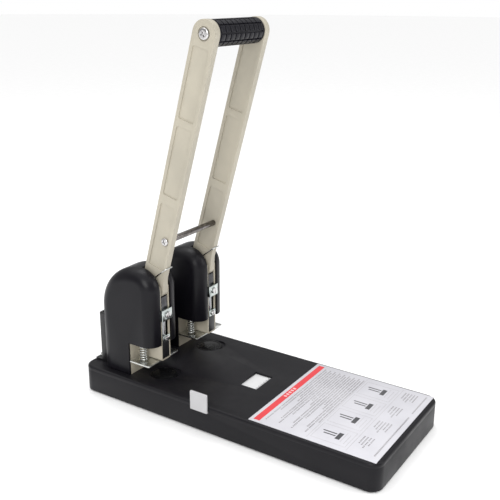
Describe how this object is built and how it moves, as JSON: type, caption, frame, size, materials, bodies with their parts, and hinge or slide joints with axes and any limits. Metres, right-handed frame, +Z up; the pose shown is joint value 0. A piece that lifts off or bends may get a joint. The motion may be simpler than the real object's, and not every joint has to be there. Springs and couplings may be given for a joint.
{
  "type": "hole punch",
  "caption": "Heavy-duty paper punch: hollow punches in rounded towers on a long flat base, worked by a tall U-shaped lever with a rubber grip.",
  "frame": {"origin": "centre of the base's footprint on the surface it stands on", "axes": "+Z up, +Y to the back where the towers stand, -Y to the front where the paper lies, +X to the right-hand tower"},
  "size_m": [0.1443, 0.3418, 0.3849],
  "materials": {
    "black_plastic": "satin moulded plastic with a fine texture",
    "black_steel": "semi-gloss black coating",
    "cream_paint": "satin powder coat",
    "zinc": "bright zinc plate",
    "chrome_steel": "polished plated steel",
    "dark_steel": "blackened steel",
    "spring_steel": "drawn wire",
    "rubber": "matt moulded rubber",
    "card": "printed self-adhesive card",
    "light_plastic": "light grey moulded plastic",
    "disc_plastic": "dark grey plastic"
  },
  "bodies": {
    "base": {"base_lid": "black_plastic", "base_housing": "black_plastic", "rubber_feet": "rubber", "base_screws": "dark_steel", "instruction_label": "card", "rear_tie_plate": "black_steel", "tie_screws": "dark_steel", "cover_left": "black_plastic", "frame_left": "cream_paint", "stripper_plate_left": "zinc", "stripper_rivets_left": "zinc", "guide_block_left": "black_plastic", "punch_guide_left": "zinc", "guide_screw_left": "chrome_steel", "frame_screws_left": "zinc", "axle_left": "chrome_steel", "axle_rings_left": "dark_steel", "return_springs_left": "spring_steel", "torsion_coil_left": "spring_steel", "cover_right": "black_plastic", "frame_right": "cream_paint", "stripper_plate_right": "zinc", "stripper_rivets_right": "zinc", "guide_block_right": "black_plastic", "punch_guide_right": "zinc", "guide_screw_right": "chrome_steel", "frame_screws_right": "zinc", "axle_right": "chrome_steel", "axle_rings_right": "dark_steel", "return_springs_right": "spring_steel", "torsion_coil_right": "spring_steel"},
    "lever": {"arm_left": "cream_paint", "arm_right": "cream_paint", "grip_sleeve": "rubber", "grip_rod": "chrome_steel", "grip_screws": "chrome_steel", "crossbar": "chrome_steel", "crossbar_screws": "chrome_steel", "torsion_leg_left": "spring_steel", "torsion_leg_right": "spring_steel"},
    "punch_set_left": {"punch_left": "zinc", "punch_holder_left": "zinc", "clamp_screw_left": "chrome_steel", "spring_bar_left": "dark_steel", "push_stem_left": "dark_steel"},
    "punch_set_right": {"punch_right": "zinc", "punch_holder_right": "zinc", "clamp_screw_right": "chrome_steel", "spring_bar_right": "dark_steel", "push_stem_right": "dark_steel"},
    "guide": {"side_guide": "light_plastic", "guide_scale": "card"},
    "disc_left": {"cutting_disc_left": "disc_plastic"},
    "disc_right": {"cutting_disc_right": "disc_plastic"}
  },
  "joints": [
    {"name": "lever_hinge", "type": "hinge", "parent": "base", "child": "lever", "pos_m": [0, 0.0992, 0.1128], "axis": [1, 0, 0], "range_deg": [0, 65], "stiffness_Nm_per_rad": 1, "springref_deg": -34.38},
    {"name": "punch_left_slide", "type": "slide", "parent": "base", "child": "punch_set_left", "axis": [0, 0, -1], "range_m": [0, 0.0172], "stiffness_N_per_m": 260, "springref_m": -0.02, "deforming": ["return_springs_left"]},
    {"name": "punch_right_slide", "type": "slide", "parent": "base", "child": "punch_set_right", "axis": [0, 0, -1], "range_m": [0, 0.0172], "stiffness_N_per_m": 260, "springref_m": -0.02, "deforming": ["return_springs_right"]},
    {"name": "side_guide_slide", "type": "slide", "parent": "base", "child": "guide", "axis": [-1, 0, 0], "range_m": [0, 0.05]},
    {"name": "disc_left_turn", "type": "hinge", "parent": "base", "child": "disc_left", "pos_m": [-0.04, 0.0859, 0.0293], "axis": [0, 0, 1], "continuous": true},
    {"name": "disc_right_turn", "type": "hinge", "parent": "base", "child": "disc_right", "pos_m": [0.04, 0.0859, 0.0293], "axis": [0, 0, 1], "continuous": true}
  ],
  "couplings": [
    {"joint": "punch_left_slide", "follows": "lever_hinge", "m_per_rad": 0.014985},
    {"joint": "punch_right_slide", "follows": "lever_hinge", "m_per_rad": 0.014985}
  ]
}
